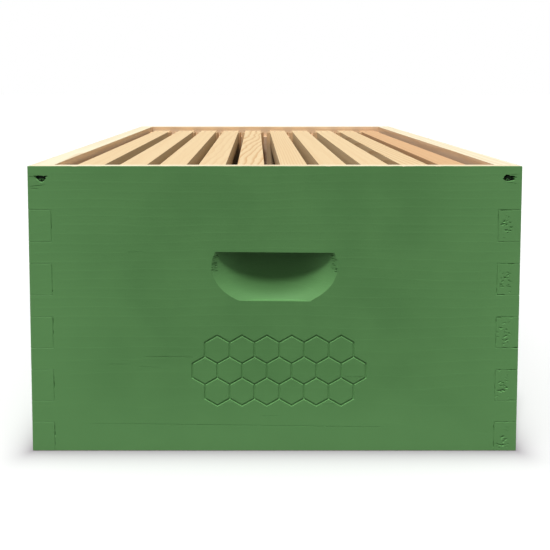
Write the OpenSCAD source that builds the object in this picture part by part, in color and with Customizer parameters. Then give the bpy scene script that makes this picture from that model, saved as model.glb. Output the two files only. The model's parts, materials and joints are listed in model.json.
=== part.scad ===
// Ten-frame deep hive body with its ten hanging frames.
// X runs across the box, Y along the frames, Z up. The front board faces -Y, and the
// origin is the centre of the bottom edge. Millimetres throughout.

/* [Box] */
// Outside width, across the ten frames
box_w = 412.75; // [408:0.25:425]
// Outside length, along the frames
box_l = 504.82; // [502:0.25:520]
// Height of the box
box_h = 244.48; // [240:0.25:260]
// Thickness of every board
board_t = 19.05; // [17:0.25:19.5]

/* [Finger joints] */
// Distance from one side-board finger to the next
finger_pitch = 45.6; // [44:0.1:47]
// Height of a side-board finger
side_finger_h = 27.1; // [22:0.1:30]
// Height of the lowest side-board finger
bottom_finger_h = 25.3; // [20:0.1:27]
// Number of side-board fingers
finger_count = 5; // [3:1:5]

/* [Frame rest] */
// Height of the rabbet that the frames hang in
rabbet_h = 15.88; // [14:0.1:18]
// Depth of the rabbet into an end board
rabbet_d = 9.53; // [8.5:0.1:10]

/* [Hand holds] */
// Radius of the cutter that scoops a hand hold
cutter_r = 115; // [110:1:130]
// Roundness of the cutter's rim
cutter_rim_r = 53; // [50:1:60]
// Depth of the scoop at its deepest
scoop_d = 13; // [11:0.1:14]
// Height of the top edge of the scoop above the box floor
scoop_top_z = 171.7; // [165:0.5:180]
// Height of the scoop on the face of the board
scoop_h = 41.6; // [38:0.2:43]
// Distance from the top edge down to the deepest line
scoop_drop = 12.2; // [10:0.2:16]

/* [Honeycomb mark] */
// Distance between the middles of two cells
comb_pitch = 21; // [16:0.5:23]
// Width of the engraved lines
comb_line = 1.6; // [1:0.1:2.5]
// Depth of the engraved lines
comb_depth = 0.8; // [0.4:0.1:1.5]
// Cells in the middle row; the rows above and below have one fewer
comb_cells = 7; // [3:1:7]
// Place of the middle cell across the front board
comb_x = 4; // [-20:1:20]
// Height of the middle row above the box floor
comb_z = 70; // [60:1:80]

/* [Corner nails] */
// Diameter of a nail's shank
nail_d = 2.9; // [2.5:0.1:3.2]
// Diameter of a nail's head
nail_head_d = 4.6; // [4:0.1:5.5]
// Length of a nail
nail_l = 50; // [40:1:60]
// Depth of the head below the face of the board
nail_sink = 1.6; // [0.5:0.1:2.5]
// Distance from a nail to the side of the box
nail_side = 10.9; // [8:0.1:12]
// Distance from a nail to the top rim
nail_drop = 10.4; // [6:0.1:11]

/* [Frames] */
// Places of the ten frames across the box, from the left
frame_x = [-169.5, -130, -93, -56.5, -20.5, 19.5, 56, 95, 131.9, 167.2];
// Length of a top bar, over its lugs
top_bar_l = 482.6; // [480:0.2:483]
// Width of a top bar
top_bar_w = 25.4; // [24:0.2:27]
// Thickness of a top bar
top_bar_t = 19.05; // [16:0.25:20]
// Thickness of the lugs
lug_t = 9.53; // [8:0.1:10]
// Width of the lugs and of the neck between the ears
lug_w = 22; // [19:0.5:23]
// Width of the end bars where neighbours touch
shoulder_w = 34.9; // [34:0.1:34.9]
// Height of that wide shoulder, below the top of the frame
shoulder_h = 76; // [70:1:100]
// Width of the end bars below the shoulder
end_bar_w = 28.6; // [26:0.2:30]
// Height of the slope from the shoulder to the narrow part
slope_h = 9; // [4:0.5:14]
// Thickness of the end bars
end_bar_t = 9.53; // [8:0.1:10]
// Length of the frame over its end bars
frame_l = 447.68; // [446:0.2:449]
// Height of the frame, from the lug's top to the bottom bar
frame_h = 231.8; // [228:0.2:232]
// Width of a bottom bar
bottom_bar_w = 19; // [16:0.5:20]
// Thickness of a bottom bar
bottom_bar_t = 9.53; // [8:0.1:10]

// Diameter of the wire holes in the end bars
wire_hole_d = 3.2; // [2.5:0.1:4]
// Number of wire holes in each end bar
wire_holes = 4; // [2:1:4]
// Distance between two wire holes
wire_pitch = 50; // [40:1:52]

/* [Foundation] */
// Thickness over the cells
cells_t = 4.8; // [4:0.1:6]
// Thickness of the plain edge that sits in the grooves
sheet_t = 2.4; // [2:0.1:2.6]
// Depth of the grooves in the top bar and the bottom bar
groove_d = 4; // [3:0.25:5]
// Width of the grooves
groove_w = 3.2; // [3:0.1:4]

/* [Frame nails] */
// Diameter of a frame nail's shank
pin_d = 1.6; // [1.2:0.1:2]
// Diameter of a frame nail's head
pin_head_d = 3.2; // [2.8:0.1:4]
// Thickness of a frame nail's head
pin_head_t = 0.8; // [0.6:0.1:1.2]
// Length of a frame nail
pin_l = 32; // [25:1:36]
// Distance from a top nail to the middle of the bar
pin_x = 5; // [4:0.5:7]

/* [Hidden] */
$fn = 64;
frame_count = len(frame_x);
rim_z = box_h;
ledge_z = box_h - rabbet_h;
front_y = -box_l / 2;
side_x = box_w / 2;
inner_y = box_l / 2 - board_t;
inner_x = box_w / 2 - board_t;
past = 1;                      // how far a cutter runs past a face
nail_gap = 0.05;               // play of a nail in its hole
frame_top_z = ledge_z + lug_t;
frame_bottom_z = frame_top_z - frame_h;
top_bar_under_z = frame_top_z - top_bar_t;
end_out_y = frame_l / 2;
end_mid_y = end_out_y - end_bar_t / 2;
end_in_y = end_out_y - end_bar_t;
ear_drop = 0.8;                // the ears stop this far below the top of the bar
neck_gap = 0.15;               // play between the neck and each ear
knife_d = 3;                   // how far the knife edge of a shoulder tapers
sheet_gap = 0.4;               // play round the foundation sheet
nail_head_t = 1.4;             // thickness of a corner nail's head

FRAMES = [for (i = [1:frame_count]) i];

PAINT = [0.30, 0.46, 0.28];
PINE = [0.93, 0.82, 0.63];
STEEL = [0.55, 0.56, 0.57];
PLASTIC = [0.08, 0.08, 0.08];

// A block between two corners.
module block(low, high) {
    translate(low) cube(high - low);
}

// Top of side-board finger k, counted from the floor.
function finger_top(k) = bottom_finger_h + k * finger_pitch;
function finger_low(k) = max(0, finger_top(k) - side_finger_h);

// The part of one corner that belongs to the side board, at the +X +Y corner.
module side_board_fingers() {
    for (k = [0:finger_count - 1])
        block([inner_x, inner_y, finger_low(k)], [side_x, box_l / 2, finger_top(k)]);
    block([inner_x, inner_y, ledge_z], [side_x, inner_y + rabbet_d, rim_z]);
}

module at_both_ends() {
    children();
    mirror([0, 1, 0]) children();
}

module at_both_sides() {
    children();
    mirror([1, 0, 0]) children();
}

// The cutter for a board whose outer face lies in the plane Y = 0 and whose wood is on
// the +Y side: a round-rimmed wheel on an upright axle, cut off flat above and below.
module scoop_cutter() {
    translate([0, scoop_d - cutter_r, scoop_top_z - scoop_drop])
        rotate_extrude()
            intersection() {
                translate([cutter_r - cutter_rim_r, 0]) circle(r = cutter_rim_r);
                translate([0, scoop_drop - scoop_h]) square([cutter_r, scoop_h]);
            }
}

// Rows of hexagons in the plane X-Z, each of the given size from middle to corner.
module comb_cells_2d(corner_r) {
    for (row = [-1:1]) {
        cells = comb_cells - abs(row);
        for (i = [0:cells - 1])
            translate([(i - (cells - 1) / 2) * comb_pitch, row * comb_pitch * sin(60)])
                rotate(30) circle(r = corner_r, $fn = 6);
    }
}

// Engraved honeycomb lines on the front face.
module comb_grooves() {
    meet_r = comb_pitch / sqrt(3);
    translate([comb_x, front_y + comb_depth, comb_z])
        rotate([90, 0, 0])
            linear_extrude(comb_depth + past)
                difference() {
                    comb_cells_2d(meet_r + comb_line / 2);
                    comb_cells_2d(meet_r - comb_line / 2);
                }
}

// Nails lie along Y at the top corners. hole widens the shank for its bore.
module corner_nail_at_end(extra = 0) {
    at_both_sides()
        translate([side_x - nail_side, box_l / 2 - nail_sink, rim_z - nail_drop])
            rotate([90, 0, 0]) {
                cylinder(d = nail_d + 2 * extra, h = nail_l + extra);
                cylinder(d = nail_head_d + 2 * extra, h = nail_head_t + extra);
                if (extra > 0)
                    translate([0, 0, -nail_sink - past])
                        cylinder(d = nail_head_d + 2 * extra, h = nail_sink + past + extra);
            }
}

module end_board() {
    difference() {
        block([-side_x, inner_y, 0], [side_x, box_l / 2, rim_z]);
        at_both_sides() side_board_fingers();
        block([-inner_x - past, inner_y - past, ledge_z],
              [inner_x + past, inner_y + rabbet_d, rim_z + past]);
        translate([0, box_l / 2, 0]) rotate(180) scoop_cutter();
        corner_nail_at_end(nail_gap);
    }
}

module front_panel() {
    color(PAINT)
        difference() {
            mirror([0, 1, 0]) end_board();
            comb_grooves();
        }
}

module back_panel() {
    color(PAINT) end_board();
}

module side_board() {
    difference() {
        union() {
            block([inner_x, -inner_y, 0], [side_x, inner_y, rim_z]);
            at_both_ends() side_board_fingers();
        }
        translate([side_x, 0, 0]) rotate(90) scoop_cutter();
        at_both_ends() corner_nail_at_end(nail_gap);
    }
}

module right_panel() {
    color(PAINT) side_board();
}

module left_panel() {
    color(PAINT) mirror([1, 0, 0]) side_board();
}

module corner_nails() {
    color(STEEL) at_both_ends() corner_nail_at_end();
}

// Frame nails: two down through each end of the top bar, one up through each end of
// the bottom bar. extra widens them for their holes.
module frame_nails_shape(extra = 0) {
    at_both_ends() {
        at_both_sides()
            translate([pin_x, end_mid_y, frame_top_z])
                rotate([180, 0, 0]) frame_nail(extra);
        translate([0, end_mid_y, frame_bottom_z]) frame_nail(extra);
    }
}

// A nail that points up, with its head's outer face at Z = 0.
module frame_nail(extra) {
    translate([0, 0, -extra]) cylinder(d = pin_head_d + 2 * extra, h = pin_head_t + 2 * extra);
    cylinder(d = pin_d + 2 * extra, h = pin_l + extra);
}

module top_bar() {
    color(PINE)
        difference() {
            union() {
                block([-lug_w / 2, -top_bar_l / 2, frame_top_z - lug_t],
                      [lug_w / 2, top_bar_l / 2, frame_top_z]);
                block([-lug_w / 2, -end_out_y, top_bar_under_z],
                      [lug_w / 2, end_out_y, frame_top_z]);
                block([-top_bar_w / 2, -end_in_y, top_bar_under_z],
                      [top_bar_w / 2, end_in_y, frame_top_z]);
                at_both_ends()
                    block([-top_bar_w / 2, end_out_y, frame_top_z - lug_t],
                          [top_bar_w / 2, top_bar_l / 2, frame_top_z]);
            }
            block([-groove_w / 2, -end_in_y, top_bar_under_z - past],
                  [groove_w / 2, end_in_y, top_bar_under_z + groove_d]);
            frame_nails_shape(nail_gap);
        }
}

// Plan of an end bar's shoulder: one edge square, the other brought to a knife edge.
module shoulder_plan() {
    w = shoulder_w / 2;
    polygon([[-w, end_in_y], [w - knife_d, end_in_y], [w, end_mid_y],
             [w - knife_d, end_out_y], [-w, end_out_y]]);
}

module end_bar() {
    ear_top_z = frame_top_z - ear_drop;
    shoulder_low_z = frame_top_z - shoulder_h;
    wires_low_z = (top_bar_under_z + frame_bottom_z - (wire_holes - 1) * wire_pitch) / 2;
    difference() {
        union() {
            translate([0, 0, shoulder_low_z])
                linear_extrude(ear_top_z - shoulder_low_z) shoulder_plan();
            shoulder_slope(shoulder_low_z);
            block([-end_bar_w / 2, end_in_y, frame_bottom_z],
                  [end_bar_w / 2, end_out_y, shoulder_low_z]);
        }
        block([-lug_w / 2 - neck_gap, end_in_y - past, top_bar_under_z],
              [lug_w / 2 + neck_gap, end_out_y + past, rim_z]);
        block([-bottom_bar_w / 2 - neck_gap, end_in_y - past, frame_bottom_z - past],
              [bottom_bar_w / 2 + neck_gap, end_out_y + past, frame_bottom_z + bottom_bar_t]);
        for (k = [0:wire_holes - 1])
            translate([0, end_in_y - past, wires_low_z + k * wire_pitch])
                rotate([-90, 0, 0]) cylinder(d = wire_hole_d, h = end_bar_t + 2 * past);
        frame_nails_shape(nail_gap);
    }
}

// The sloped underside of the shoulder, from the given height down.
module shoulder_slope(high_z) {
    translate([0, end_out_y, high_z])
        rotate([90, 0, 0])
            linear_extrude(end_bar_t)
                polygon([[-shoulder_w / 2, 0], [-end_bar_w / 2, -slope_h],
                         [end_bar_w / 2, -slope_h], [shoulder_w / 2 - knife_d, 0]]);
}

module end_bars() {
    color(PINE) at_both_ends() end_bar();
}

module bottom_bar() {
    color(PINE)
        difference() {
            block([-bottom_bar_w / 2, -end_out_y, frame_bottom_z],
                  [bottom_bar_w / 2, end_out_y, frame_bottom_z + bottom_bar_t]);
            block([-groove_w / 2, -end_in_y, frame_bottom_z + bottom_bar_t - groove_d],
                  [groove_w / 2, end_in_y, frame_bottom_z + bottom_bar_t + past]);
            frame_nails_shape(nail_gap);
        }
}

module foundation() {
    sheet_y = end_in_y - sheet_gap;
    cells_y = sheet_y - 3;
    low_z = frame_bottom_z + bottom_bar_t;
    color(PLASTIC) {
        block([-sheet_t / 2, -sheet_y, low_z - groove_d + sheet_gap],
              [sheet_t / 2, sheet_y, top_bar_under_z + groove_d - sheet_gap]);
        block([-cells_t / 2, -cells_y, low_z + 3],
              [cells_t / 2, cells_y, top_bar_under_z - 3]);
    }
}

module frame_nails() {
    color(STEEL) frame_nails_shape();
}

front_panel();
back_panel();
left_panel();
right_panel();
corner_nails();
for (i = FRAMES) translate([frame_x[i - 1], 0, 0]) {
    top_bar();
    end_bars();
    bottom_bar();
    foundation();
    frame_nails();
}
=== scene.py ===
# %% [markdown]
# # A ten-frame deep hive box
#
# The box is four pine boards, finger-jointed and nailed at the corners, painted green
# outside and left bare inside. Ten frames hang in it by the ends of their top bars. The
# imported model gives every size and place; this script gives each board, bar, sheet and
# nail its finished shape and surface.

import json
import math
import random

import bpy
from mathutils import Matrix, Vector

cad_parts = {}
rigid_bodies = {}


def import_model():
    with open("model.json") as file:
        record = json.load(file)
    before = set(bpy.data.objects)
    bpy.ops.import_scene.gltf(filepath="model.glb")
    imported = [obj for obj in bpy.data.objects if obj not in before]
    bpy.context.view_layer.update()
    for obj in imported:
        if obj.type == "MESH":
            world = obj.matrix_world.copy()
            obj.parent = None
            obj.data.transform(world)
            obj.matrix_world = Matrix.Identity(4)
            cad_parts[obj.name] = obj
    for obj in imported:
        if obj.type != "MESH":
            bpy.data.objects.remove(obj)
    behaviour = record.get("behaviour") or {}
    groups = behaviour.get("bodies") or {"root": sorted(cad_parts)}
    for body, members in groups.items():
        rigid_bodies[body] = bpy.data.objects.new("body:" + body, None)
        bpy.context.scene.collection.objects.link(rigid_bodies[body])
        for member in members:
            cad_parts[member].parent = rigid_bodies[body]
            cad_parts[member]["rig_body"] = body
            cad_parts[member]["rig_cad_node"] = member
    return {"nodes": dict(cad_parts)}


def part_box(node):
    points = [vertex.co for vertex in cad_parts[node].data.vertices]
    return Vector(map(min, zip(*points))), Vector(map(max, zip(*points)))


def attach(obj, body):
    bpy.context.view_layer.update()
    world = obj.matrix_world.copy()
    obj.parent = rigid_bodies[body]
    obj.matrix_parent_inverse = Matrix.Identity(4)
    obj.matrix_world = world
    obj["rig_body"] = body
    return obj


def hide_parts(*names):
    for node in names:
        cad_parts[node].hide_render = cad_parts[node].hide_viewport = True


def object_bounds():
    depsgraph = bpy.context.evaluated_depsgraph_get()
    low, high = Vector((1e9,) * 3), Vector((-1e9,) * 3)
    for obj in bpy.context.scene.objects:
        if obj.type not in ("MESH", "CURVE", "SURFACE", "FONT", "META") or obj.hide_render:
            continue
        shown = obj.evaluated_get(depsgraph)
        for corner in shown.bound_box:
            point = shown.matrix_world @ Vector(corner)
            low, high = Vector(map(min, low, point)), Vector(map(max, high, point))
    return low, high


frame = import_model()
cad_low, cad_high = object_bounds()
print("box of the packed model:", tuple(cad_low), tuple(cad_high))

# %% [markdown]
# ## Sizes that several cells use
#
# The thickness of a board, the height of the rim and the outline of the box are read from
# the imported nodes. The rabbet, the hand hold and the fingers are cut into a board, so no
# node gives their sizes, and those are typed in.

# %% Read the driving sizes
MM = 0.001
front_low, front_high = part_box("front_panel")
bar_low, bar_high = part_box("frame_1_top_bar")
board_t = front_high.y - front_low.y
rim_z = cad_high.z
side_x = cad_high.x
end_y = cad_high.y
inner_x = side_x - board_t
inner_y = end_y - board_t
RABBET_D = 9.53 * MM       # the step cut along the rim, that the frames hang in
RABBET_H = 15.88 * MM
ledge_z = rim_z - RABBET_H
FRAMES = range(1, 11)
print(f"boards {board_t / MM:.2f} mm thick, rim at {rim_z / MM:.1f} mm")

# %% [markdown]
# ## The camera
#
# The box is seen from just above its rim, half a metre from the front board. A camera
# that is level keeps upright edges upright, and lens shift then slides the picture down
# the box, as an architect's camera does. A small tilt leaves less for the shift to do.

# %% Place the camera
FOCAL = 39.27              # mm, on a 36 mm sensor
CAMERA_X = -15.9 * MM
CAMERA_BACK = 497 * MM     # from the front board
CAMERA_ABOVE = 66 * MM     # over the rim
CAMERA_TILT = 3.0          # degrees down
SHIFT_X, SHIFT_Y = 0.035, -0.285    # of the width of the picture
bpy.ops.object.camera_add(
    location=(CAMERA_X, -end_y - CAMERA_BACK, rim_z + CAMERA_ABOVE),
    rotation=(math.radians(90 - CAMERA_TILT), 0, 0),
)
camera = bpy.context.object
camera.name = "camera"
camera.data.lens = FOCAL
camera.data.shift_x = SHIFT_X
camera.data.shift_y = SHIFT_Y
bpy.context.scene.camera = camera
print("camera at", tuple(round(c, 3) for c in camera.location), "metres")

# %% [markdown]
# ## The light
#
# A sun lamp has no distance, only a direction and a width. The key lamp, above and in
# front, is narrow enough to draw the curved edge of the shadow in the hand hold. Two wide
# lamps, lower and at the sides, lift the sides of the frames out of the dark.

# %% Light the stage
scene = bpy.context.scene
scene.view_settings.view_transform = "Standard"


def add_sun(name, strength, size, elevation, azimuth):
    """A distant lamp: size is how wide it looks, azimuth 0 is in front of the box."""
    bpy.ops.object.light_add(
        type="SUN",
        location=(0, -1, 2),
        rotation=(math.radians(90 - elevation), 0, math.radians(azimuth)),
    )
    lamp = bpy.context.object
    lamp.name = name
    lamp.data.energy = strength
    lamp.data.angle = math.radians(size)
    print(f"{name}: strength {strength}, {elevation} degrees up")


add_sun("key_lamp", strength=2.58, size=9, elevation=68.5, azimuth=-18)
add_sun("left_fill", strength=0.88, size=80, elevation=42, azimuth=-72)
add_sun("right_fill", strength=0.58, size=80, elevation=42, azimuth=72)

# %% [markdown]
# ## Shader maths as arithmetic
#
# A material is a net of nodes. Written out node by node it is long and hard to read, so
# one small class wraps a socket: adding or multiplying two of them adds the Math node.

# %% A socket that can be used in sums
class Socket:
    """An output in a material's node tree."""

    def __init__(self, tree, output):
        self.tree = tree
        self.output = output

    def node(self, kind, inputs, result=0, **settings):
        """Adds any node to the tree, with its settings first and then its sockets."""
        made = self.tree.nodes.new(kind)
        for name, value in settings.items():
            setattr(made, name, value)
        for key, value in inputs.items():
            if isinstance(value, Socket):
                self.tree.links.new(value.output, made.inputs[key])
            else:
                made.inputs[key].default_value = value
        return Socket(self.tree, made.outputs[result])

    def math(self, operation, *others):
        return self.node("ShaderNodeMath", dict(enumerate((self, *others))), operation=operation)

    def __add__(self, other):
        return self.math("ADD", other)

    def __sub__(self, other):
        return self.math("SUBTRACT", other)

    def __rsub__(self, other):
        return self.node("ShaderNodeMath", {0: other, 1: self}, operation="SUBTRACT")

    def __mul__(self, other):
        return self.math("MULTIPLY", other)

    def __truediv__(self, other):
        return self.math("DIVIDE", other)

    __radd__ = __add__
    __rmul__ = __mul__

    def step(self, low, high):
        """0 below low, 1 above high, and smooth between."""
        return self.node(
            "ShaderNodeMapRange",
            {"Value": self, "From Min": low, "From Max": high},
            interpolation_type="SMOOTHSTEP",
        )

    def mix(self, first, second):
        """The first colour where this is 0 and the second where it is 1."""
        return self.node(
            "ShaderNodeMix",
            {"Factor": self, 6: first, 7: second},
            result=2,
            data_type="RGBA",
            clamp_factor=True,
        )


def split(vector):
    """The X, Y and Z of a vector, as three sockets."""
    return [vector.node("ShaderNodeSeparateXYZ", {0: vector}, result=i) for i in range(3)]


def join(x, y, z):
    maker = next(v for v in (x, y, z) if isinstance(v, Socket))
    return maker.node("ShaderNodeCombineXYZ", {0: x, 1: y, 2: z})


def noise(vector, scale=1.0, detail=2.0, roughness=0.5):
    """Smooth noise from 0 to 1, at places counted in the vector's own units."""
    return vector.node(
        "ShaderNodeTexNoise",
        {"Vector": vector, "Scale": scale, "Detail": detail, "Roughness": roughness},
    )


def colour(r, g, b):
    return (r, g, b, 1.0)


def start_material(name):
    """A new material, its shader and the places of its points in millimetres."""
    material = bpy.data.materials.new(name)
    material.use_nodes = True
    tree = material.node_tree
    shader = tree.nodes["Principled BSDF"]
    points = tree.nodes.new("ShaderNodeTexCoord").outputs["Object"]
    places = Socket(tree, points)
    places = places.node("ShaderNodeVectorMath", {0: places, "Scale": 1 / MM}, operation="SCALE")
    return material, shader, places


def connect(shader, **inputs):
    """Links sockets to the shader, or sets plain values on it."""
    for name, value in inputs.items():
        socket = shader.inputs[name.replace("_", " ").title()]
        if isinstance(value, Socket):
            value.tree.links.new(value.output, socket)
        else:
            socket.default_value = value


# %% [markdown]
# ## The room and the paper floor
#
# The sky lights the box from overhead only, which keeps the hand hold dark under its top
# edge, while the camera itself sees a white room: a Light Path node tells the two apart.
# The floor is a sheet of white paper that throws no light back at the box. Right against the box
# its colour is a little darker: a painted shadow, where a real sheet lies in the box's own shade.

# %% Make the room and the floor
SKY_ABOVE, SKY_BELOW = 0.45, 0.02
SKY_FROM, SKY_TO = 0.3, 1.0         # the heights, of 1, between which it brightens
FLOOR_SIZE = 40
SHADE_REACH = 13.0                  # mm over which the box's shade fades
SHADE_DEPTH = 0.6
PAPER = (0.85, 0.85, 0.85, 1.0)
PAPER_SHADE = (0.045, 0.0, 0.045, 1.0)

world = bpy.data.worlds.new("white_room")
scene.world = world
world.use_nodes = True
sky = world.node_tree
direction = Socket(sky, sky.nodes.new("ShaderNodeTexCoord").outputs["Generated"])
height = split(direction)[2].step(SKY_FROM, SKY_TO)
lighting = height * (SKY_ABOVE - SKY_BELOW) + SKY_BELOW
seen = Socket(sky, sky.nodes.new("ShaderNodeLightPath").outputs["Is Camera Ray"])
glow = seen + (1 - seen) * lighting
sky.links.new(glow.output, sky.nodes["Background"].inputs["Strength"])
sky.nodes["Background"].inputs["Color"].default_value = (1, 1, 1, 1)

bpy.ops.mesh.primitive_plane_add(size=FLOOR_SIZE, location=(0, 0, 0))
floor = bpy.context.object
floor.name = "paper_floor"
floor.visible_diffuse = False

paper, paper_shader, floor_places = start_material("white_paper")
floor_x, floor_y, _ = split(floor_places)
beside = (floor_x.math("ABSOLUTE") - side_x / MM).math("MAXIMUM", 0.0)
before = (floor_y.math("ABSOLUTE") - end_y / MM).math("MAXIMUM", 0.0)
away = (beside * beside + before * before).math("SQRT")
# painted shadow: the paper's colour darkens and tints near the box's footprint
shade = (away / -SHADE_REACH).math("EXPONENT") * SHADE_DEPTH
connect(paper_shader, base_color=shade.mix(PAPER, PAPER_SHADE), roughness=0.9)
paper_shader.inputs["Specular IOR Level"].default_value = 0.0
floor.data.materials.append(paper)
print("floor:", FLOOR_SIZE, "m square")

# %% [markdown]
# ## Pine
#
# Pine is pale earlywood with thin, darker latewood rings. A board is a slice through
# those rings, so the honest way to draw it is to keep the tree: the distance of a point
# from the pith, wobbling along the trunk, decides which ring it is in. Where the pith
# lies far below, a bar shows long wavy figure; beside it, it shows straight fine lines.

# %% Material: bare pine
PALE = colour(0.80, 0.61, 0.36)
RING = colour(0.60, 0.35, 0.15)
FIBRE_BROWN = colour(0.50, 0.30, 0.13)
STREAK_BROWN = colour(0.70, 0.47, 0.24)
# how fast each pattern changes along the grain and across it, per mm
DRIFT_PACE = (0.006, 0.018)         # the trunk's slow bends
KINK_PACE = (0.022, 0.05)           # the small waves in a ring
FIBRE_PACE = (0.03, 2.2)            # single fibres
STREAK_PACE = (0.004, 0.22)         # broad darker streaks
FIBRE_SHOWS, STREAK_SHOWS = 0.10, 0.22      # how strongly each colours the wood
BUMP_HEIGHT = 0.3 * MM
LATE_STARTS, LATE_FULL, LATE_ENDS = 0.45, 0.93, 0.94   # of the way through a ring


def pine_grain(places, order, pith, spacing, wobble, sway, tilt, seed):
    """Ring, fibre and streak strength from 0 to 1 in wood whose grain runs along order[0]."""
    xyz = dict(zip("XYZ", split(places)))
    along, across, deep = (xyz[axis] for axis in order)

    def stretched(pace, **settings):
        """Noise that changes slowly along the grain and quickly across it."""
        place = join(along * pace[0], across * pace[1], deep * pace[1] + seed)
        return noise(place, **settings)

    drift_at = join(along * DRIFT_PACE[0] + seed, across * DRIFT_PACE[1], deep * DRIFT_PACE[1])
    drift = noise(drift_at, detail=1.5) - 0.5
    kink = stretched(KINK_PACE, detail=2) - 0.5
    from_x = across - pith[0] + along * tilt[0]
    from_z = deep - pith[1] + along * tilt[1]
    radius = (from_x * from_x + from_z * from_z).math("SQRT") + drift * wobble + kink * sway
    ring = (radius / spacing + 100).math("FRACT")      # 100 keeps it positive
    late = ring.step(LATE_STARTS, LATE_FULL) * (1 - ring.step(LATE_ENDS, 1.0))
    fibre = stretched(FIBRE_PACE, detail=3, roughness=0.6)
    streak = stretched(STREAK_PACE, detail=3)
    return late, fibre, streak


def pine_colour(late, fibre, streak, strength, tint):
    """The colour of bare pine from its rings, fibres and broad streaks."""
    pale = colour(*(p * t for p, t in zip(PALE, tint)))
    wood = (late * strength).mix(pale, RING)
    wood = (fibre.step(0.50, 0.72) * FIBRE_SHOWS).mix(wood, FIBRE_BROWN)
    return (streak.step(0.35, 0.75) * STREAK_SHOWS).mix(wood, STREAK_BROWN)


def bumpy(places, relief, strength):
    """A bump of three tenths of a millimetre, at most, from a relief of 0 to 1."""
    return places.node(
        "ShaderNodeBump", {"Height": relief, "Strength": strength, "Distance": BUMP_HEIGHT}
    )


def pine(name, order="YXZ", pith=(8, -60), spacing=4.5, wobble=6, sway=1.5, tilt=(0, 0),
         strength=0.3, tint=(1, 1, 1), seed=0.0):
    """Bare planed pine. pith is where the tree's middle lies, across and below."""
    material, shader, places = start_material(name)
    late, fibre, streak = pine_grain(places, order, pith, spacing, wobble, sway, tilt, seed)
    connect(
        shader,
        base_color=pine_colour(late, fibre, streak, strength, tint),
        roughness=0.52 + fibre * 0.18,
        normal=bumpy(places, fibre * 0.6 + late * 0.4, 0.25),
    )
    return material


# %% [markdown]
# ## Green paint, and where it stops
#
# The box was put together before it was painted, and only its outside was: the outer
# faces, the hand holds and the edges of the nail holes. The rims, the bottom edges, the
# rabbet, the inside and the joints are bare. The material works this out from how far a
# point lies past the inner faces of the boards. Brush marks and the grain beneath show
# through a thin coat as faint ridges along the board. The colour also holds painted light
# and shade: painted shade deep in the hand hold, near-black painted shade in the nail
# holes, painted light toward the ends and the foot of a board, and a painted highlight
# on the bare rims.

# %% Material: green paint over pine
GREEN = colour(0.146, 0.354, 0.119)
GREEN_DARK = colour(0.130, 0.322, 0.107)
GREEN_THIN = colour(0.162, 0.384, 0.136)
GREEN_THICK = colour(0.109, 0.277, 0.090)
# painted light toward a board's ends and foot
GREEN_LIT_EDGE = colour(0.185, 0.439, 0.152)
# painted shade deep in the hand hold
GREEN_HOLD_SHADE = colour(0.076, 0.200, 0.060)
# painted shade: near-black for the depths of the nail holes and the nail heads in them
PIT_SHADE = colour(0.008, 0.018, 0.008)
# painted highlight: the bare rims are paler, as if lit from above
RIM_LIGHT_TINT = (1.07, 1.29, 1.62)
INSIDE_TINT = (1.03, 1.02, 1.20)
PAINT_DEPTH = 1.2                   # mm that the paint reaches into a gap
EDGE = 0.2                          # mm over which bare wood gives way to paint
CREEP_LOW, CREEP_HIGH = 0.1, 0.6    # mm that paint creeps up over an arris
BLEED_LOW, BLEED_HIGH = -0.9, 1.5   # mm that it runs in across the rim
END_FROM, END_TO = 90.0, 210.0      # mm from the middle, where the ends turn lighter
FOOT_TO = 90.0                      # mm above the floor, where the foot does
# painted light: how much lighter the green turns there
EDGE_LIGHT_SHARE = 0.6
# painted shade: the green darkens between these depths
HOLD_SHADE_FROM, HOLD_SHADE_TO = 3.0, 11.0      # mm deep in the hand hold
BOARD_PITH = (0, -150)


def where_bare(places):
    """Masks of bare wood, the bare rim and a nail pit's painted shade, and the depth in the wood.
    """
    x, y, z = split(places)
    past_x = x.math("ABSOLUTE") - inner_x / MM
    past_y = y.math("ABSOLUTE") - inner_y / MM
    beyond_x, beyond_y = past_x.step(0.0, EDGE), past_y.step(0.0, EDGE)
    above_ledge = (z - ledge_z / MM).step(-1.0, -0.5)
    depth = board_t / MM - past_x.math("MAXIMUM", past_y)
    buried = beyond_x * beyond_y * depth.step(PAINT_DEPTH, PAINT_DEPTH + EDGE)
    creep = noise(places, scale=0.5, detail=3) * (CREEP_HIGH - CREEP_LOW) + CREEP_LOW
    bleed = noise(places, scale=0.12, detail=3) * (BLEED_HIGH - BLEED_LOW) + BLEED_LOW
    rim = (z - rim_z / MM + creep).step(0.0, 0.1) * (depth - bleed).step(0.0, 0.3)
    foot = (creep - z).step(0.0, 0.1)
    in_rabbet = (board_t - RABBET_D) / MM
    rabbet = above_ledge * (1 - beyond_x) * (1 - past_y.step(in_rabbet, in_rabbet + EDGE))
    inside = (1 - beyond_x) * (1 - beyond_y)
    bare = (inside + rim + foot + rabbet + buried * (1 - above_ledge)).math("MINIMUM", 1.0)
    return bare, rim, buried * above_ledge, depth


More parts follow.
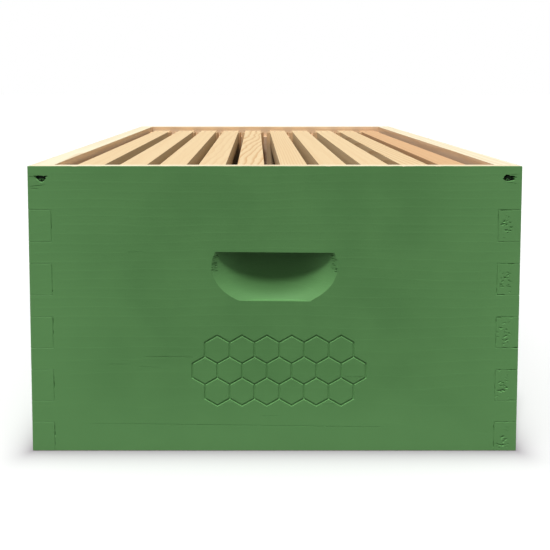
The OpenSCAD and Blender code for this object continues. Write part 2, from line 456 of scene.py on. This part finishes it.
def green_coat(places, order, pit_shade, depth):
    """The colour of the paint, with its painted light and shade, and the brush marks in it."""
    xyz = dict(zip("XYZ", split(places)))
    brush_at = join(xyz[order[0]] * 0.02, xyz[order[1]] * 0.9, 0.0)
    brush = noise(brush_at, detail=4, roughness=0.65)
    green = noise(places, scale=0.02, detail=3).step(0.3, 0.7).mix(GREEN_DARK, GREEN)
    # Painted light: the green turns lighter toward the ends of the board and its foot.
    near_end = xyz[order[0]].math("ABSOLUTE").step(END_FROM, END_TO)
    lit_edge = near_end.math("MAXIMUM", 1 - xyz["Z"].step(0.0, FOOT_TO)) * EDGE_LIGHT_SHARE
    green = lit_edge.mix(green, GREEN_LIT_EDGE)
    green = (brush.step(0.5, 0.85) * 0.3).mix(green, GREEN_THIN)
    green = ((1 - brush.step(0.1, 0.35)) * 0.3).mix(green, GREEN_THICK)
    # painted shade: the green turns darker the deeper a point lies in the hand hold
    green = depth.step(HOLD_SHADE_FROM, HOLD_SHADE_TO).mix(green, GREEN_HOLD_SHADE)
    # painted shade: near-black where the wood lies deep in a torn nail hole
    return pit_shade.mix(green, PIT_SHADE), brush


def painted_pine(name, order, seed):
    """Pine that is painted outside and bare on the rims, in the joints and inside."""
    material, shader, places = start_material(name)
    late, fibre, streak = pine_grain(places, order, BOARD_PITH, 6.5, 10, 2, (0, 0), seed)
    bare, rim, pit_shade, depth = where_bare(places)
    green, brush = green_coat(places, order, pit_shade, depth)
    inner_wood = pine_colour(late, fibre, streak, 0.3, INSIDE_TINT)
    # The bare rims take a paler wood colour: a painted highlight on the top faces.
    wood = rim.mix(inner_wood, pine_colour(late, fibre, streak, 0.3, RIM_LIGHT_TINT))
    relief = bare * fibre * 0.5 + (1 - bare) * (brush * 0.55 + late * 0.35 + fibre * 0.15)
    connect(
        shader,
        base_color=bare.mix(green, wood),
        roughness=0.46 + bare * 0.14 + brush * 0.08,
        normal=bumpy(places, relief, 0.22),
    )
    shader.inputs["Specular IOR Level"].default_value = 0.2
    return material


def coat(piece, material):
    """Gives a piece this material and no other."""
    piece.data.materials.clear()
    piece.data.materials.append(material)


# %% [markdown]
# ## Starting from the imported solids
#
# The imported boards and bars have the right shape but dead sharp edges, and no real arris
# is sharp: sandpaper and paint round it by half a millimetre, and that thin line of light
# is what shows where one piece ends. So a board starts as a copy of its solid, whose
# loose triangles are merged and whose flat faces are joined up again, and a Bevel
# modifier then rounds every edge.

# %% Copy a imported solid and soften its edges
SAME_PLACE = 0.01 * MM      # points nearer than this are one point


def only(piece):
    """Selects this piece and nothing else."""
    bpy.ops.object.select_all(action="DESELECT")
    piece.select_set(True)
    bpy.context.view_layer.objects.active = piece


def apply_modifier(piece, kind, **settings):
    """Adds a modifier, sets it and applies it."""
    only(piece)
    modifier = piece.modifiers.new(kind.lower(), kind)
    for name, value in settings.items():
        setattr(modifier, name, value)
    bpy.ops.object.modifier_apply(modifier=modifier.name)


def copy_solid(node, name):
    """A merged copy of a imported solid, with whole flat faces."""
    only(frame["nodes"][node])
    bpy.ops.object.duplicate()
    piece = bpy.context.object
    piece.name = name
    piece.parent = None
    del piece["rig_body"]
    del piece["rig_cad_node"]
    piece.data.materials.clear()
    bpy.ops.mesh.customdata_custom_splitnormals_clear()
    bpy.ops.object.mode_set(mode="EDIT")
    bpy.ops.mesh.select_all(action="SELECT")
    bpy.ops.mesh.remove_doubles(threshold=SAME_PLACE)
    bpy.ops.mesh.dissolve_limited(angle_limit=math.radians(1))
    bpy.ops.object.mode_set(mode="OBJECT")
    return piece


def soften(piece, width, segments=2, sharper=35):
    """Rounds every edge sharper than this many degrees."""
    apply_modifier(
        piece,
        "BEVEL",
        width=width,
        segments=segments,
        limit_method="ANGLE",
        angle_limit=math.radians(sharper),
        use_clamp_overlap=False,
    )
    bpy.ops.object.mode_set(mode="EDIT")
    bpy.ops.mesh.select_all(action="SELECT")
    bpy.ops.mesh.remove_doubles(threshold=SAME_PLACE)
    bpy.ops.mesh.dissolve_degenerate(threshold=SAME_PLACE)
    bpy.ops.object.mode_set(mode="OBJECT")


def polish(piece, angle=40):
    """Shades rounded edges smooth and keeps broad faces flat."""
    only(piece)
    bpy.ops.object.shade_smooth_by_angle(angle=math.radians(angle))
    apply_modifier(piece, "WEIGHTED_NORMAL", keep_sharp=True, weight=90)


def finish_piece(piece, body, slot_name, *nodes):
    """Hands a finished piece to its body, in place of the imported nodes."""
    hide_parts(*nodes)
    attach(piece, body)


# %% [markdown]
# ## Cutters for torn wood
#
# A nail driven close to the end of a board lifts a few splinters, and a cutter that
# leaves the wood across the grain tears short fibres out. Each tear is a small lens, long
# along the grain, and a Boolean modifier takes a whole group of them out at once.

# %% Make a group of tears
def lens(place, size, lean=0.0):
    """A low lens with pointed ends; size is its half length, half depth and half height."""
    bpy.ops.mesh.primitive_uv_sphere_add(segments=8, ring_count=5, radius=1, location=place)
    tear = bpy.context.object
    only(tear)
    bpy.ops.object.mode_set(mode="EDIT")
    bpy.ops.mesh.select_all(action="SELECT")
    bpy.ops.transform.rotate(value=math.pi / 2, orient_axis="Y", center_override=place)
    bpy.ops.transform.resize(value=[v * MM for v in size], center_override=place)
    bpy.ops.transform.rotate(value=math.radians(lean), orient_axis="Y", center_override=place)
    bpy.ops.object.mode_set(mode="OBJECT")
    return tear


def join_pieces(pieces, name):
    """Joins pieces into one, with its place in its mesh."""
    only(pieces[0])
    for piece in pieces:
        piece.select_set(True)
    bpy.ops.object.join()
    whole = bpy.context.object
    whole.name = name
    bpy.ops.object.transform_apply(location=True, rotation=True, scale=True)
    return whole


def cut(piece, tears):
    """Takes a group of overlapping tears out of the piece."""
    cutter = join_pieces(tears, "cutter")
    apply_modifier(
        piece, "BOOLEAN", object=cutter, operation="DIFFERENCE", solver="EXACT", use_self=True
    )
    bpy.data.objects.remove(cutter)


def scatter(count, low, high, small, large, lean=6.0, deep=0.0):
    """Tears at random between two corners, on the front face or this deep below it."""
    tears = []
    for _ in range(count):
        x, z = random.uniform(low[0], high[0]), random.uniform(low[1], high[1])
        size = [random.uniform(a, b) for a, b in zip(small, large)]
        place = (x * MM, -end_y + deep * MM, z * MM)
        tears.append(lens(place, size, random.uniform(-lean, lean)))
    return tears


# %% [markdown]
# ## The ragged holes of the corner nails
#
# Each nail is sunk below the face, and its hole is torn into a shape of its own. The
# tears are a short list for each side, chosen one by one: the first few are the hole, and
# the rest are splinters lifted along the grain beside it.

# %% Tears round a corner nail
LEFT, RIGHT = -1, 1
NAIL_SIDE = 10.9 * MM       # from the side of the box
NAIL_DROP = 10.4 * MM       # from the rim
NAIL_TEARS = {
    # across and up from the nail; half length, half depth and half height; then the lean
    LEFT: (
        ((0.0, 0.4), (4.6, 3.4, 2.0), -6),
        ((0.6, -0.4), (3.0, 3.8, 3.0), 30),
        ((-1.2, 0.2), (3.2, 3.6, 2.2), -40),
        ((2.4, 1.3), (3.8, 2.4, 0.8), 14),
        ((-2.2, 1.6), (4.0, 2.0, 0.7), -10),
        ((-5.8, 1.4), (4.2, 0.7, 0.3), -3),
        ((-2.6, -5.9), (7.0, 0.5, 0.28), 7),
        ((-4.8, -8.4), (4.6, 0.4, 0.22), -3),
    ),
    RIGHT: (
        ((0.2, 0.2), (5.0, 3.4, 2.3), -14),
        ((-0.4, 0.8), (3.6, 3.6, 2.3), -34),
        ((-2.6, -1.2), (3.0, 2.4, 0.8), -28),
        ((3.6, 1.5), (3.0, 2.0, 0.8), -12),
        ((2.4, -3.6), (4.2, 0.5, 0.3), -10),
        ((4.0, 3.4), (3.4, 0.4, 0.2), -4),
    ),
}


def nail_tears(way):
    """The ragged hole round a front corner nail."""
    nail_x, nail_z = way * (side_x - NAIL_SIDE), rim_z - NAIL_DROP
    return [
        lens((nail_x + across * MM, -end_y, nail_z + up * MM), size, lean)
        for (across, up), size, lean in NAIL_TEARS[way]
    ]


# %% [markdown]
# ## The four boards
#
# Each board is softened by four tenths of a millimetre, so that the finger joints show as
# fine lines under the paint. The front board also gets its ragged nail holes, the torn
# fibres at both ends of the hand hold and the long faint check that crosses it low down.
# The ends of the right board's fingers are rough end grain. Random places come from one
# seed, so the boards are the same every time.

# %% Make the boards
random.seed(7)
HOLD_TOP = 171.7            # mm
HOLD_HALF = 51.0            # mm
HOLD_SLOPE = 0.5            # how fast its ends deepen
HOLD_TEARS = {LEFT: 12, RIGHT: 7}
HOLD_ROWS = (0.0, 2.4)      # mm in from its end
HOLD_FROM, HOLD_TO = 17, 3  # mm below its top
FINGER_PITCH = 45.6         # mm
FINGER_H = 27.1             # mm
FINGER_TOPS = [25.3 + k * FINGER_PITCH for k in range(5)]
BOARD_ROUND = 0.4 * MM
LONG_CHECKS = ((-70, 23, 95), (40, 21.5, 60), (-90, 82, 22))    # across, up, half length
CHECK_DEEP, CHECK_HIGH, CHECK_LEAN = 0.5, 0.28, -0.7
# the smallest and largest tear of each kind: half length, half depth and half height, mm
HOLD_TEAR = (1.5, 1.0, 0.28), (2.8, 1.8, 0.5)
SEAM_TEAR = (0.35, 0.7, 1.2), (0.7, 1.2, 4.5)
FACE_SCRATCH = (4.0, 0.3, 0.12), (12.0, 0.45, 0.2)
EDGE_TEAR = (1.2, 0.6, 0.35), (3.8, 1.1, 0.75)
END_GRAIN_TEAR = (0.4, 0.3, 0.2), (1.8, 0.7, 0.6)
END_GRAIN_PIT = (0.9, 0.5, 0.5), (2.4, 0.9, 1.1)


def front_tears():
    """Every tear in the front board: nail holes, hand hold, seams and long checks."""
    tears = nail_tears(LEFT) + nail_tears(RIGHT)
    for way, count in HOLD_TEARS.items():
        for inward in HOLD_ROWS:
            x, deep = way * (HOLD_HALF - inward), inward * HOLD_SLOPE
            low, high = (x - 0.8, HOLD_TOP - HOLD_FROM), (x + 0.8, HOLD_TOP - HOLD_TO)
            tears += scatter(count, low, high, *HOLD_TEAR, lean=2, deep=deep)
    seam_x = (side_x - board_t) / MM
    for way in (LEFT, RIGHT):
        for top in FINGER_TOPS:
            low, high = (way * seam_x - 0.3, top - FINGER_H + 3), (way * seam_x + 0.3, top - 3)
            tears += scatter(4, low, high, *SEAM_TEAR, lean=4)
    tears += scatter(7, (-150, 30), (150, 200), *FACE_SCRATCH, lean=1.5)
    for x, z, half in LONG_CHECKS:
        size = (half, CHECK_DEEP, CHECK_HIGH)
        tears.append(lens((x * MM, -end_y, z * MM), size, CHECK_LEAN))
    return tears


def finger_tears():
    """Torn end grain on the right board's fingers, worst along their edges."""
    near, far = (side_x - board_t) / MM, side_x / MM
    tears = []
    for top in FINGER_TOPS:
        for z in (top, top - FINGER_H):
            low, high = (near + 1, z - 0.6), (far - 1, z + 0.6)
            tears += scatter(6, low, high, *EDGE_TEAR, lean=9)
        middle = top - FINGER_H / 2
        low, high = (near + 1, middle - 11), (near + 12, middle + 9)
        tears += scatter(12, low, high, *END_GRAIN_TEAR, lean=30)
        low, high = (near + 3, middle - 7), (near + 11, middle + 4)
        tears += scatter(7, low, high, *END_GRAIN_PIT, lean=35)
    return tears


end_board_paint = painted_pine("painted_end_board", "XZY", 1.7)
side_board_paint = painted_pine("painted_side_board", "YZX", 5.2)
boards = {
    "front": end_board_paint,
    "back": end_board_paint,
    "left": side_board_paint,
    "right": side_board_paint,
}
tears = {"front": front_tears, "right": finger_tears}
for name, paint in boards.items():
    board = copy_solid(f"{name}_panel", f"{name}_board")
    soften(board, BOARD_ROUND, segments=3, sharper=50)
    if name in tears:
        cut(board, tears[name]())
    polish(board, angle=25)
    coat(board, paint)
    finish_piece(board, "box", "painted_wood", f"{name}_panel")
    print(board.name, len(board.data.polygons), "faces")

# %% [markdown]
# ## The ten frames
#
# A frame is a top bar, two end bars, a bottom bar and a sheet of foundation. Every frame
# has the same parts, so each part is finished once, on the first frame, and copied along
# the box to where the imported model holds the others.

# %% Model one frame's wooden bars
def softened(node, name, width):
    """A copy of a packed bar with its edges rounded by this width."""
    piece = copy_solid(node, name)
    soften(piece, width)
    polish(piece)
    return piece


first = {
    "top_bar": softened("frame_1_top_bar", "first_top_bar", 0.7 * MM),
    "end_bars": softened("frame_1_end_bars", "first_end_bars", 0.4 * MM),
    "bottom_bar": softened("frame_1_bottom_bar", "first_bottom_bar", 0.5 * MM),
}
for part, piece in first.items():
    print(part, len(piece.data.polygons), "faces")

# %% [markdown]
# ## Foundation
#
# The bees are given a start: a plastic sheet moulded with the floors of thousands of
# cells, 5.4 mm apart. One hexagon is repeated by Array modifiers into a whole field, each
# hexagon is inset and sunk to make a cell, and a Mirror modifier makes the other side.
# Inset moves a face along its own normal, so the flat field has to face outwards before
# its cells are sunk: the measure printed at the end shows that they went inwards.

# %% Model one sheet of foundation
CELL = 5.4 * MM
ROW = CELL * math.sqrt(0.75)
CELL_DEPTH = 1.1 * MM
CELL_WALL = 1.1 * MM        # between two cells
SAME_CORNER = 0.02 * MM     # corners of two hexagons nearer than this are one
sheet_low, sheet_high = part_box("frame_1_foundation")
sheet_x = (sheet_low.x + sheet_high.x) / 2
sheet_half = (sheet_high.x - sheet_low.x) / 2
EDGE_HALF = 1.2 * MM
MARGIN_Y, MARGIN_Z = 5.0 * MM, 8.5 * MM


def repeat(piece, count, offset):
    """Repeats a flat field, and joins the corners that meet."""
    apply_modifier(
        piece,
        "ARRAY",
        count=count,
        use_relative_offset=False,
        use_constant_offset=True,
        constant_offset_displace=offset,
        use_merge_vertices=True,
        merge_threshold=SAME_CORNER,
    )


def make_sheet():
    """Both faces of the sheet, with their cells."""
    field_low = Vector((sheet_x, sheet_low.y + MARGIN_Y, sheet_low.z + MARGIN_Z))
    columns = int((sheet_high.y - sheet_low.y - 2 * MARGIN_Y) / CELL)
    rows = int((sheet_high.z - sheet_low.z - 2 * MARGIN_Z) / ROW / 2)
    bpy.ops.mesh.primitive_circle_add(
        vertices=6,
        radius=CELL / math.sqrt(3),
        fill_type="NGON",
        location=field_low + Vector((sheet_half, CELL / 2, CELL / 2)),
        rotation=(math.pi / 2, 0, math.pi / 2),
    )
    sheet = bpy.context.object
    only(sheet)
    bpy.ops.object.transform_apply(location=True, rotation=True, scale=True)
    bpy.ops.object.mode_set(mode="EDIT")
    bpy.ops.mesh.select_all(action="SELECT")
    bpy.ops.mesh.duplicate_move(TRANSFORM_OT_translate={"value": (0, CELL / 2, ROW)})
    bpy.ops.mesh.select_all(action="SELECT")
    bpy.ops.mesh.remove_doubles(threshold=SAME_CORNER)
    bpy.ops.object.mode_set(mode="OBJECT")
    repeat(sheet, columns, (0, CELL, 0))
    repeat(sheet, rows, (0, 0, 2 * ROW))
    bpy.ops.object.mode_set(mode="EDIT")
    bpy.ops.mesh.select_all(action="SELECT")
    bpy.ops.mesh.inset(thickness=CELL_WALL / 2, depth=-CELL_DEPTH, use_individual=True)
    bpy.ops.mesh.select_mode(type="EDGE")
    bpy.ops.mesh.select_all(action="DESELECT")
    bpy.ops.mesh.select_non_manifold(extend=False)
    bpy.ops.mesh.extrude_region_move(
        TRANSFORM_OT_translate={"value": (-sheet_half, 0, 0)}
    )
    bpy.ops.object.mode_set(mode="OBJECT")
    bpy.ops.object.empty_add(location=(sheet_x, 0, 0))
    middle = bpy.context.object
    apply_modifier(sheet, "MIRROR", mirror_object=middle, merge_threshold=SAME_CORNER)
    bpy.data.objects.remove(middle)
    only(sheet)
    bpy.ops.object.mode_set(mode="EDIT")
    bpy.ops.mesh.select_all(action="SELECT")
    bpy.ops.mesh.normals_make_consistent(inside=False)
    bpy.ops.object.mode_set(mode="OBJECT")
    return sheet


def make_sheet_edge():
    """The plain plate whose edges sit in the grooves of the frame."""
    bpy.ops.mesh.primitive_cube_add(
        size=1,
        location=(sheet_low + sheet_high) / 2,
        scale=(2 * EDGE_HALF, sheet_high.y - sheet_low.y, sheet_high.z - sheet_low.z),
    )
    plate = bpy.context.object
    only(plate)
    bpy.ops.object.transform_apply(location=True, rotation=True, scale=True)
    soften(plate, 0.3 * MM)
    return plate


first["foundation"] = join_pieces([make_sheet(), make_sheet_edge()], "first_foundation")
wide = first["foundation"].dimensions.x / MM
packed_wide = (sheet_high.x - sheet_low.x) / MM
print(f"foundation: {len(first['foundation'].data.polygons)} faces")
print(f"{wide:.2f} mm thick over its cells, and {packed_wide:.2f} mm in the packed model")

# %% [markdown]
# ## Moulded plastic
#
# The sheet comes out of its mould black and nearly smooth, with a slightly cloudy gloss
# where the plastic flowed. Its cells are real shape, so the bump is left only the grain
# of the mould.

# %% Material: moulded black plastic
BLACK, CLOUDED = colour(0.010, 0.010, 0.011), colour(0.018, 0.017, 0.016)


def black_plastic():
    material, shader, places = start_material("black_plastic")
    cloud = noise(places, scale=0.03, detail=3)
    fine = noise(places, scale=1.5, detail=2)
    bump = places.node("ShaderNodeBump", {"Height": fine, "Strength": 0.15, "Distance": 0.1 * MM})
    black = cloud.step(0.3, 0.7).mix(BLACK, CLOUDED)
    connect(shader, base_color=black, roughness=0.42 + fine * 0.15, normal=bump)
    return material


# %% [markdown]
# ## Nails
#
# A wire nail is a round shank with a flat head and a point. It starts as the disc of its
# head; the inner face is inset to the shank's size, extruded to its length, and the end
# drawn in to the point. A frame is held by short thin nails, and a corner by a longer one.

# %% Model a nail
POINT_LONG = 3              # times the radius of the shank
POINT_TIP = 0.12            # of the width of the shank


def make_nail(name, head_r, head_t, shank_r, length):
    """A nail that points up, with the outside of its head at the origin."""
    bpy.ops.mesh.primitive_cylinder_add(
        vertices=16, radius=head_r, depth=head_t, location=(0, 0, head_t / 2)
    )
    nail = bpy.context.object
    nail.name = name
    only(nail)
    bpy.ops.object.transform_apply(location=True, rotation=True, scale=True)
    point_l = POINT_LONG * shank_r
    bpy.ops.object.mode_set(mode="EDIT")
    bpy.ops.mesh.select_mode(type="FACE")
    bpy.ops.mesh.select_all(action="DESELECT")
    bpy.ops.object.mode_set(mode="OBJECT")
    for face in nail.data.polygons:
        face.select = face.normal.z > 0.9
    bpy.ops.object.mode_set(mode="EDIT")
    bpy.ops.mesh.inset(thickness=head_r - shank_r)
    straight = length - head_t - point_l
    bpy.ops.mesh.extrude_region_move(TRANSFORM_OT_translate={"value": (0, 0, straight)})
    bpy.ops.mesh.extrude_region_move(TRANSFORM_OT_translate={"value": (0, 0, point_l)})
    bpy.ops.transform.resize(
        value=(POINT_TIP, POINT_TIP, 1), center_override=(0, 0, length)
    )
    bpy.ops.object.mode_set(mode="OBJECT")
    soften(nail, head_t * 0.2)
    polish(nail)
    return nail


def copy_to(piece, name, move=(0, 0, 0), turn=0.0, axis="X"):
    """A copy with its own mesh, turned about an axis through the origin, then moved."""
    twin = piece.copy()
    twin.data = piece.data.copy()
    twin.name = name
    scene.collection.objects.link(twin)
    twin.data.transform(Matrix.Translation(move) @ Matrix.Rotation(turn, 4, axis))
    return twin


PIN_HEAD_R = 1.6 * MM
PIN = dict(head_r=PIN_HEAD_R, head_t=0.8 * MM, shank_r=0.8 * MM, length=32 * MM)
PIN_X = 5 * MM              # from the middle of the bar
WIRE_NAIL = dict(head_r=2.3 * MM, head_t=1.4 * MM, shank_r=1.45 * MM, length=50 * MM)
nails_low, nails_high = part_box("frame_1_nails")
pin = make_nail("pin", **PIN)
bar_x = (bar_low.x + bar_high.x) / 2
pin_y = nails_high.y - PIN_HEAD_R
pins = []
for end in (-1, 1):
    for side in (-1, 1):
        top = (bar_x + side * PIN_X, end * pin_y, nails_high.z)
        pins.append(copy_to(pin, "top_pin", top, math.pi))
    pins.append(copy_to(pin, "bottom_pin", (bar_x, end * pin_y, nails_low.z)))
first["nails"] = join_pieces(pins, "first_nails")
bpy.data.objects.remove(pin)

corner_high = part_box("corner_nails")[1]
wire_nail = make_nail("wire_nail", **WIRE_NAIL)
corner_nails = []
for end in (-1, 1):
    for side in (-1, 1):
        place = (side * (side_x - NAIL_SIDE), end * corner_high.y, rim_z - NAIL_DROP)
        corner_nails.append(copy_to(wire_nail, "corner_nail", place, end * math.pi / 2))
corner_nails = join_pieces(corner_nails, "corner_wire_nails")
bpy.data.objects.remove(wire_nail)
finish_piece(corner_nails, "box", "nail_steel", "corner_nails")
print("nails in a frame:", len(pins), "and in the corners: 4")

# %% [markdown]
# ## Steel, bare and painted
#
# The frame nails are bright wire, dulled in patches. The corner nails were driven before
# the box was painted, so their shanks are bare and the brush left some paint on their
# heads, mostly on the lower side, where it ran down. The rest of each head is near-black
# painted shade, for it lies deep in its torn hole.

# %% Material: nail steel
BRIGHT, GRIMY = colour(0.42, 0.42, 0.43), colour(0.20, 0.18, 0.16)
BARE_SHANK = colour(0.30, 0.30, 0.30)
BRUSH_REACH = 1.0           # mm in from the outside of the head


def nail_steel():
    """Bright wire with patches of grime."""
    material, shader, places = start_material("nail_steel")
    grime = noise(places, scale=0.8, detail=3)
    tone = grime.step(0.35, 0.7).mix(BRIGHT, GRIMY)
    connect(shader, base_color=tone, metallic=0.9, roughness=0.3 + grime * 0.3)
    return material


def painted_steel():
    """The corner nails: bare in the wood, with paint in patches on their heads and painted shade
    elsewhere.
    """
    material, shader, places = start_material("painted_steel")
    _, y, z = split(places)
    out = (y.math("ABSOLUTE") - (corner_high.y / MM - BRUSH_REACH)).step(0.0, 0.5)
    head_shade = noise(places, scale=0.55, detail=2).step(0.42, 0.56)
    low_side = (rim_z - NAIL_DROP) / MM - z
    head_shade = head_shade.math("MAXIMUM", 1 - low_side.step(-0.2, 0.6))
    # painted shade: the head is near-black where it lies in the dark of its hole, green where paint
    # is left
    painted = head_shade.mix(GREEN_THIN, PIT_SHADE)
    tone = out.mix(BARE_SHANK, painted)
    connect(shader, base_color=tone, metallic=(1 - out) * 0.9, roughness=0.6)
    shader.inputs["Specular IOR Level"].default_value = 0.15
    return material


steel = nail_steel()
coat(corner_nails, painted_steel())

# %% [markdown]
# ## Ten bars, ten trees
#
# The ten top bars came off different boards. Most are plain and pale; the fifth is cut
# through strong wavy figure, the sixth is straight and fine, the ninth is figured
# across, and the tenth is warm and reddish. The pith's place and the wobble say which.

# %% Copy the frame's parts and give each frame its own wood
FIGURES = {
    1: dict(pith=(60, -90), strength=0.14, seed=11),
    2: dict(pith=(20, -120), strength=0.10, seed=12),
    3: dict(pith=(45, -70), strength=0.12, seed=13),
    4: dict(pith=(-30, -50), strength=0.26, wobble=9, sway=4, spacing=5, tilt=(-0.05, 0), seed=14),
    5: dict(pith=(-45, -40), strength=0.75, wobble=18, sway=6, spacing=6, tilt=(-0.08, 0), seed=15),
    6: dict(pith=(-95, -6), strength=0.42, wobble=4, sway=1, spacing=3, seed=16),
    7: dict(pith=(30, -110), strength=0.12, seed=17),
    8: dict(pith=(-50, -95), strength=0.12, seed=18),
    9: dict(pith=(-55, -30), strength=0.6, wobble=6, sway=2, spacing=5, tilt=(0.06, 0), seed=19),
    10: dict(pith=(-40, -60), strength=0.3, wobble=4, tint=(0.88, 0.71, 0.64), seed=20),
}
POST_PITH = (25, 260)       # mm right of the bar's middle, and behind the box's
POST_STEP = 9               # mm further back for each frame
POST_TINT = (1.0, 0.90, 0.86)
plastic = black_plastic()
for i in FRAMES:
    centre = sum(c.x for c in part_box(f"frame_{i}_top_bar")) / 2
    figure = dict(FIGURES[i])
    figure["pith"] = (figure["pith"][0] + centre / MM, figure["pith"][1] + rim_z / MM)
    bar_wood = pine(f"pine_bar_{i}", **figure)
    post_wood = pine(
        f"pine_posts_{i}",
        order="ZXY",
        pith=(centre / MM + POST_PITH[0], POST_PITH[1] + POST_STEP * i),
        strength=0.25,
        spacing=3.5,
        tint=POST_TINT,
        seed=40.0 + i,
    )
    woods = {
        "top_bar": (bar_wood, "frame_wood"),
        "end_bars": (post_wood, "frame_wood"),
        "bottom_bar": (bar_wood, "frame_wood"),
        "foundation": (plastic, "foundation_plastic"),
        "nails": (steel, "nail_steel"),
    }
    for part, (material, slot_name) in woods.items():
        piece = copy_to(first[part], f"hive_frame_{i}_{part}", (centre - bar_x, 0, 0))
        coat(piece, material)
        finish_piece(piece, f"frame_{i}", slot_name, f"frame_{i}_{part}")
for piece in first.values():
    bpy.data.objects.remove(piece)
